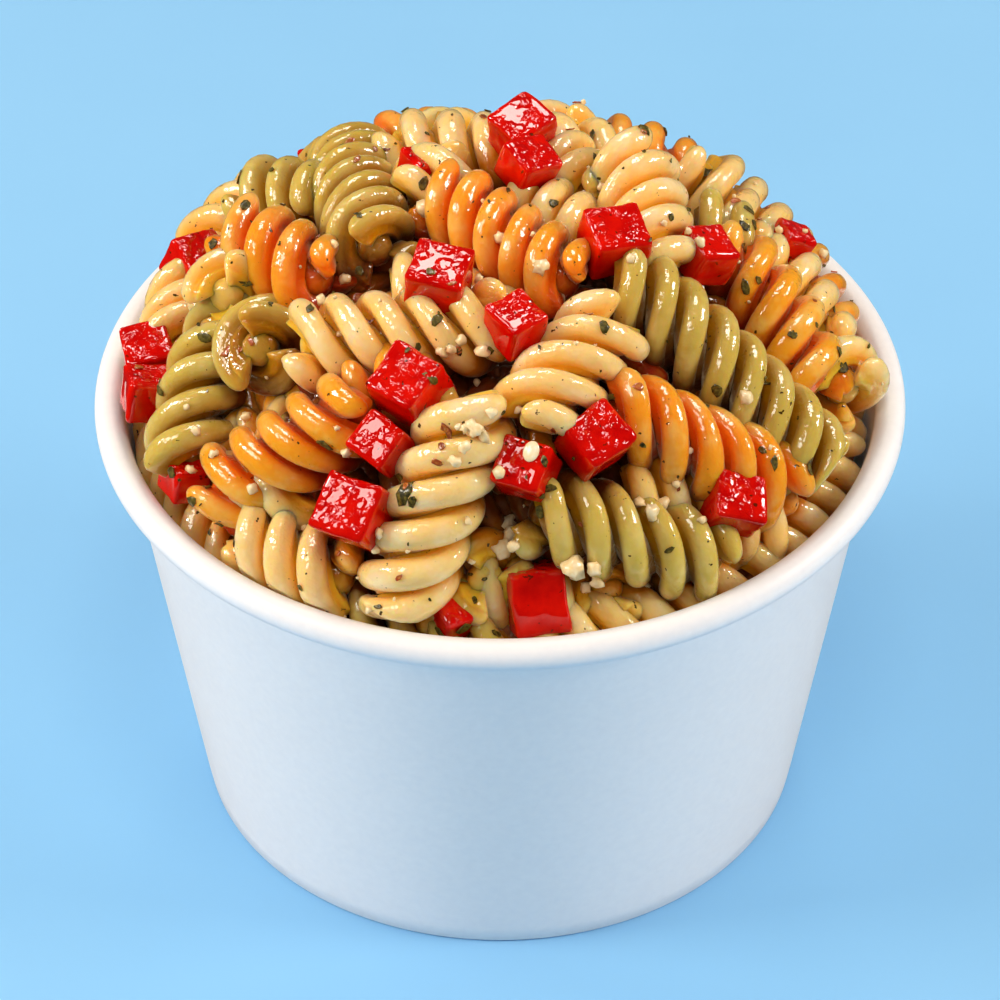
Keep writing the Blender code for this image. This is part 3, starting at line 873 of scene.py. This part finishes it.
def make_core():
    """A lumpy dark body deep between the pieces, its darkness painted shade for the gaps there."""
    bottom = FOOT_DEPTH + FLOOR_THICKNESS + CUP_GAP
    profile = []
    for step in range(CORE_RINGS + 1):
        radius = CORE_RADIUS * step / CORE_RINGS
        profile.append((radius, float(dome_height(radius)) - CORE_DEPTH))
    profile.append((float(food_reach(bottom)), bottom))
    profile.append((0.0, bottom))
    core = turn_profile("heap_core", profile, CORE_SIDES)
    for vert in core.data.vertices:
        if vert.co.z > CORE_LUMPS_FROM * MM:
            lump = noise.noise(vert.co * CORE_LUMPS_PER_METRE)
            vert.co += vert.co.normalized() * lump * CORE_LUMP * MM
    return core


def shape_die(bm, middle, size, turns):
    """A rounded, slightly tapered block with shallow lumps."""
    bmesh.ops.create_cube(bm, size=1.0)
    for vert in bm.verts:
        lean = DIE_LEAN * vert.co.z
        vert.co.x = vert.co.x * size[0] * (1.0 - lean)
        vert.co.y = vert.co.y * size[1] * (1.0 + lean)
        vert.co.z = vert.co.z * size[2]
    bmesh.ops.subdivide_edges(bm, edges=bm.edges, cuts=DIE_CUTS, use_grid_fill=True)
    half = Vector(size) / 2
    for vert in bm.verts:
        inner = Vector([max(-h + DIE_ROUND, min(h - DIE_ROUND, c)) for c, h in zip(vert.co, half)])
        away = vert.co - inner
        if away.length > DIE_ROUND:
            vert.co = inner + away.normalized() * DIE_ROUND
    rotation = Euler([math.radians(turn) for turn in turns]).to_matrix()
    bmesh.ops.rotate(bm, cent=(0.0, 0.0, 0.0), matrix=rotation, verts=bm.verts)
    bmesh.ops.translate(bm, vec=middle, verts=bm.verts)
    bmesh.ops.scale(bm, vec=(MM, MM, MM), verts=bm.verts)
    centre = Vector(middle) * MM
    for vert in bm.verts:
        lump = 0.0
        for often, begin, high in DIE_LUMPS:
            lump += noise.noise(vert.co * often + Vector(begin)) * high * MM
        vert.co += (vert.co - centre).normalized() * lump


def make_dice():
    """The dice of pepper, each over its plain solid."""
    dice = []
    for node, middle, size, turns in DICE:
        bm = bmesh.new()
        shape_die(bm, middle, size, turns)
        mesh = bpy.data.meshes.new(node.replace("pepper", "die"))
        bm.to_mesh(mesh)
        bm.free()
        mesh.polygons.foreach_set("use_smooth", [True] * len(mesh.polygons))
        die = bpy.data.objects.new(mesh.name, mesh)
        bpy.context.scene.collection.objects.link(die)
        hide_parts(node)
        dice.append(die)
    return dice


# Materials


def new_material(name):
    material = bpy.data.materials.new(name)
    material.use_nodes = True
    tree = material.node_tree
    return material, tree, tree.nodes["Principled BSDF"]


def add_node(tree, kind, **settings):
    node = tree.nodes.new(kind)
    for key, value in settings.items():
        setattr(node, key, value)
    return node


def set_values(node, values):
    """Sets the plain values of a node's sockets."""
    for label, value in values.items():
        node.inputs[label].default_value = value


def noise_at(tree, size, detail=3.0, rough=0.55):
    """Noise whose lumps are about this many millimetres across."""
    place = add_node(tree, "ShaderNodeTexCoord")
    texture = add_node(tree, "ShaderNodeTexNoise")
    set_values(texture, {"Scale": 1.0 / (size * MM), "Detail": detail, "Roughness": rough})
    tree.links.new(place.outputs["Object"], texture.inputs["Vector"])
    return texture.outputs["Fac"]


def spread(tree, value, low, high, low_to=0.0, high_to=1.0):
    remap = add_node(tree, "ShaderNodeMapRange")
    set_values(remap, {"From Min": low, "From Max": high, "To Min": low_to, "To Max": high_to})
    tree.links.new(value, remap.inputs["Value"])
    return remap.outputs["Result"]


def blend(tree, share, first, second, mode="MIX"):
    """Mixes two colours, each a value or a socket."""
    mix = add_node(tree, "ShaderNodeMix", data_type="RGBA", blend_type=mode)
    if isinstance(share, float):
        mix.inputs["Factor"].default_value = share
    else:
        tree.links.new(share, mix.inputs["Factor"])
    for socket, colour in ((mix.inputs[6], first), (mix.inputs[7], second)):
        if isinstance(colour, tuple):
            socket.default_value = (*colour, 1.0)
        else:
            tree.links.new(colour, socket)
    return mix.outputs[2]


def bump(tree, height, strength, distance, under=None):
    node = add_node(tree, "ShaderNodeBump")
    set_values(node, {"Strength": strength, "Distance": distance * MM})
    tree.links.new(height, node.inputs["Height"])
    if under is not None:
        tree.links.new(under, node.inputs["Normal"])
    return node.outputs["Normal"]


def attribute(tree, name):
    return add_node(tree, "ShaderNodeAttribute", attribute_name=name).outputs["Fac"]


def pasta_material(name, crest, valley_shade, pale, gap_shade):
    material, tree, shader = new_material(name)
    broad = noise_at(tree, 5.0, 3.0)
    patch = spread(tree, broad, 0.48, 0.74)
    # From the valleys to the crests of the ridges: the darker, more saturated valley colour is painted
    # shade
    height = spread(tree, attribute(tree, "crest"), 0.40, 0.95)
    colour = blend(tree, height, valley_shade, blend(tree, patch, crest, pale))
    own = spread(tree, attribute(tree, "shade"), 0.0, 1.0, 0.0, 0.28)
    colour = blend(tree, own, colour, blend(tree, 1.0, colour, crest, "MULTIPLY"))
    # Deeper under the crests around it, the colour turns to the gap colour, then darker still: painted
    # shade between the pieces
    deep = spread(tree, attribute(tree, "deep"), 2.0, 6.8)
    colour = blend(tree, times(tree, deep, deep), colour, gap_shade)
    colour = blend(tree, spread(tree, attribute(tree, "deep"), 6.5, 11.0), colour, DEEP_GAP_SHADE)
    specks = spread(tree, noise_at(tree, 1.1, 2.0), 0.70, 0.73)
    colour = blend(tree, specks, colour, (0.06, 0.035, 0.006))
    tree.links.new(colour, shader.inputs["Base Color"])
    rough = spread(tree, broad, 0.35, 0.65, 0.22, 0.45)
    tree.links.new(rough, shader.inputs["Roughness"])
    uneven = bump(tree, noise_at(tree, 1.5, 2.0), 0.6, 0.38)
    tree.links.new(uneven, shader.inputs["Normal"])
    tree.links.new(uneven, shader.inputs["Coat Normal"])
    set_values(shader, {
        "Subsurface Weight": 0.85,
        "Subsurface Radius": (1.0, 0.50, 0.12),
        "Subsurface Scale": 3.8 * MM,
        "Coat Weight": 1.0,
        "Coat Roughness": 0.03,
        "Coat IOR": 1.6,
        "Specular IOR Level": 0.15,
        "Sheen Weight": 0.3,
        "Sheen Roughness": 0.3,
        "Sheen Tint": (1.0, 0.85, 0.55, 1.0),
    })
    return material


def core_material():
    material, tree, shader = new_material("dark_core_shade")
    patch = spread(tree, noise_at(tree, 3.0), 0.4, 0.65)
    # Dark browns: painted shade for the deep gaps between the pieces
    colour = blend(tree, patch, (0.10, 0.018, 0.003), (0.30, 0.11, 0.02))
    tree.links.new(colour, shader.inputs["Base Color"])
    tree.links.new(bump(tree, noise_at(tree, 1.8), 0.8, 1.0), shader.inputs["Normal"])
    shader.inputs["Roughness"].default_value = 0.35
    return material


def facing_up(tree, low, high):
    """From 0 to 1 as a surface turns from level with its sides to facing up."""
    way = add_node(tree, "ShaderNodeNewGeometry")
    split = add_node(tree, "ShaderNodeSeparateXYZ")
    tree.links.new(way.outputs["Normal"], split.inputs["Vector"])
    return spread(tree, split.outputs["Z"], low, high)


def times(tree, first, second):
    product = add_node(tree, "ShaderNodeMath", operation="MULTIPLY")
    tree.links.new(first, product.inputs[0])
    tree.links.new(second, product.inputs[1])
    return product.outputs["Value"]


def puckers(tree, size):
    """Small level cells with creases between them, bent out of shape by noise."""
    place = add_node(tree, "ShaderNodeTexCoord")
    bend = add_node(tree, "ShaderNodeTexNoise")
    bend.inputs["Scale"].default_value = 1.0 / (size * MM)
    tree.links.new(place.outputs["Object"], bend.inputs["Vector"])
    shift = add_node(tree, "ShaderNodeVectorMath", operation="SCALE")
    shift.inputs["Scale"].default_value = size * MM
    tree.links.new(bend.outputs["Color"], shift.inputs[0])
    moved = add_node(tree, "ShaderNodeVectorMath", operation="ADD")
    tree.links.new(place.outputs["Object"], moved.inputs[0])
    tree.links.new(shift.outputs["Vector"], moved.inputs[1])
    cells = add_node(tree, "ShaderNodeTexVoronoi", feature="SMOOTH_F1")
    set_values(cells, {"Scale": 1.0 / (size * MM), "Smoothness": 0.25})
    tree.links.new(moved.outputs["Vector"], cells.inputs["Vector"])
    return spread(tree, cells.outputs["Distance"], 0.25, 0.6, 1.0, 0.0)


def pepper_material():
    """Smooth cut sides, and a puckered wet top."""
    material, tree, shader = new_material("red_pepper_flesh")
    patch = spread(tree, noise_at(tree, 3.0, 4.0), 0.35, 0.7)
    colour = blend(tree, patch, (0.50, 0.0008, 0.0003), (0.70, 0.006, 0.001))
    specks = spread(tree, noise_at(tree, 1.2, 2.0), 0.68, 0.71)
    colour = blend(tree, specks, colour, (0.12, 0.008, 0.001))
    tree.links.new(colour, shader.inputs["Base Color"])
    rough = spread(tree, noise_at(tree, 1.5), 0.35, 0.65, 0.2, 0.4)
    tree.links.new(rough, shader.inputs["Roughness"])
    top = facing_up(tree, 0.45, 0.75)
    wrinkles = times(tree, puckers(tree, 1.7), top)
    tree.links.new(bump(tree, wrinkles, 0.5, 0.3), shader.inputs["Normal"])
    tree.links.new(bump(tree, wrinkles, 0.8, 0.45), shader.inputs["Coat Normal"])
    set_values(shader, {
        "Specular IOR Level": 0.0,
        "Subsurface Weight": 0.12,
        "Subsurface Radius": (1.0, 0.1, 0.05),
        "Subsurface Scale": 1.5 * MM,
        "Coat Weight": 1.0,
        "Coat Roughness": 0.03,
        "Coat IOR": 1.6,
    })
    return material


def herb_material():
    material, tree, shader = new_material("wet_herb")
    colour = blend(tree, attribute(tree, "shade"), (0.012, 0.013, 0.002), (0.075, 0.058, 0.006))
    patch = spread(tree, noise_at(tree, 0.6, 3.0), 0.4, 0.65)
    colour = blend(tree, patch, colour, (0.17, 0.13, 0.015))
    tree.links.new(colour, shader.inputs["Base Color"])
    tree.links.new(bump(tree, noise_at(tree, 0.4, 3.0), 0.8, 0.2), shader.inputs["Normal"])
    set_values(shader, {
        "Roughness": 0.45,
        "Specular IOR Level": 0.2,
        "Coat Weight": 0.5,
        "Coat Roughness": 0.1,
    })
    return material


def dried_material():
    material, tree, shader = new_material("dried_pepper")
    colour = blend(tree, attribute(tree, "shade"), (0.16, 0.016, 0.002), (0.50, 0.085, 0.006))
    patch = spread(tree, noise_at(tree, 0.5, 3.0), 0.45, 0.7)
    colour = blend(tree, patch, colour, (0.55, 0.20, 0.03))
    tree.links.new(colour, shader.inputs["Base Color"])
    tree.links.new(bump(tree, noise_at(tree, 0.3, 3.0), 0.4, 0.1), shader.inputs["Normal"])
    set_values(shader, {"Roughness": 0.3, "Coat Weight": 1.0, "Coat Roughness": 0.06})
    return material


def cheese_material():
    material, tree, shader = new_material("cheese_crumb")
    patch = spread(tree, noise_at(tree, 0.8, 3.0), 0.35, 0.7)
    colour = blend(tree, patch, (0.90, 0.66, 0.30), (0.94, 0.80, 0.50))
    tree.links.new(colour, shader.inputs["Base Color"])
    tree.links.new(bump(tree, noise_at(tree, 0.4, 3.0), 0.5, 0.15), shader.inputs["Normal"])
    set_values(shader, {"Roughness": 0.35, "Coat Weight": 0.6, "Coat Roughness": 0.1})
    return material


def seed_material():
    material, tree, shader = new_material("pepper_seed_skin")
    patch = spread(tree, noise_at(tree, 1.0, 3.0), 0.4, 0.65)
    colour = blend(tree, patch, (0.93, 0.78, 0.46), (0.97, 0.88, 0.66))
    tree.links.new(colour, shader.inputs["Base Color"])
    tree.links.new(bump(tree, noise_at(tree, 0.5, 2.0), 0.3, 0.1), shader.inputs["Normal"])
    set_values(shader, {"Roughness": 0.3, "Coat Weight": 0.8, "Coat Roughness": 0.08})
    return material


def paper_material():
    material, tree, shader = new_material("coated_paper")
    patch = spread(tree, noise_at(tree, 1.2, 6.0), 0.3, 0.7)
    colour = blend(tree, patch, (0.86, 0.88, 0.91), (0.90, 0.915, 0.935))
    tree.links.new(colour, shader.inputs["Base Color"])
    rough = spread(tree, noise_at(tree, 4.0), 0.3, 0.7, 0.38, 0.5)
    tree.links.new(rough, shader.inputs["Roughness"])
    fine = bump(tree, noise_at(tree, 0.4, 4.0), 0.15, 0.05)
    tree.links.new(bump(tree, noise_at(tree, 14.0, 2.0), 0.2, 0.4, fine), shader.inputs["Normal"])
    set_values(shader, {
        "Subsurface Weight": 0.1,
        "Subsurface Radius": (1.0, 0.9, 0.8),
        "Subsurface Scale": 0.6 * MM,
    })
    return material


def floor_material():
    material, tree, shader = new_material("blue_card")
    patch = spread(tree, noise_at(tree, 60.0, 2.0), 0.3, 0.7)
    colour = blend(tree, patch, (0.245, 0.545, 0.875), (0.255, 0.56, 0.89))
    tree.links.new(colour, shader.inputs["Base Color"])
    set_values(shader, {"Roughness": 0.9, "Specular IOR Level": 0.1})
    return material


# Stage


def make_floor():
    half = FLOOR_HALF
    corners = [(-half, -half, 0), (half, -half, 0), (half, half, 0), (-half, half, 0)]
    floor = new_piece("floor", corners, [(0, 1, 2, 3)])
    floor.data.materials.append(floor_material())
    floor.visible_glossy = False


def add_light(name, place, width, power, colour):
    data = bpy.data.lights.new(name, "AREA")
    data.shape = "SQUARE"
    data.size = width
    data.energy = power
    data.color = colour
    light = bpy.data.objects.new(name, data)
    light.location = place
    light.rotation_euler = (Vector(LIGHT_AIM) - Vector(place)).to_track_quat("-Z", "Y").to_euler()
    bpy.context.scene.collection.objects.link(light)
    return light


def make_studio():
    """Lamps, cards, and walls that light the food evenly but hardly show in its shine."""
    for lamp in LAMPS:
        add_light(*lamp, LAMP_COLOUR).visible_glossy = False
    for card in CARDS:
        add_light(*card, CARD_COLOUR).visible_diffuse = False
    world = bpy.data.worlds.new("studio")
    world.use_nodes = True
    tree = world.node_tree
    back = tree.nodes["Background"]
    back.inputs["Color"].default_value = (*STUDIO_COLOUR, 1.0)
    path = add_node(tree, "ShaderNodeLightPath")
    strength = spread(tree, path.outputs["Is Glossy Ray"], 0.0, 1.0, 1.0, STUDIO_SHINE)
    tree.links.new(strength, back.inputs["Strength"])
    bpy.context.scene.world = world
    bpy.context.scene.view_settings.view_transform = "Standard"


def make_camera():
    data = bpy.data.cameras.new("camera")
    data.sensor_width = 36.0
    data.lens = FOCAL_SHARE * data.sensor_width
    camera = bpy.data.objects.new("camera", data)
    back = Vector((0.0, -math.cos(CAMERA_ELEVATION), math.sin(CAMERA_ELEVATION)))
    camera.location = (Vector((0.0, 0.0, CAMERA_AIM_HEIGHT)) + back * CAMERA_DISTANCE) * MM
    camera.rotation_euler = (math.pi / 2 - CAMERA_ELEVATION, 0.0, 0.0)
    bpy.context.scene.collection.objects.link(camera)
    bpy.context.scene.camera = camera


def main():
    make_camera()
    make_floor()
    make_studio()
    cup = make_cup()
    cup.data.materials.append(paper_material())
    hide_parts("cup")
    core = make_core()
    core.data.materials.append(core_material())
    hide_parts("pasta_heap")
    food = [core]
    doughs = {}
    for dough, colours in PASTA_COLOURS.items():
        doughs[dough] = pasta_material(dough + "_pasta", *colours)
    for batch in (make_pasta(), make_ring_pasta(), make_under_pasta()):
        for dough, thing in batch.items():
            thing.data.materials.append(doughs[dough])
            food.append(thing)
    red = pepper_material()
    for die in make_dice():
        die.data.materials.append(red)
        food.append(die)
    mark_depth(food)
    looks = (herb_material(), dried_material(), cheese_material(), seed_material())
    for thing, material in zip(make_strewn(food), looks):
        thing.data.materials.append(material)
        food.append(thing)
    for piece in [cup] + food:
        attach(piece, "root")


main()
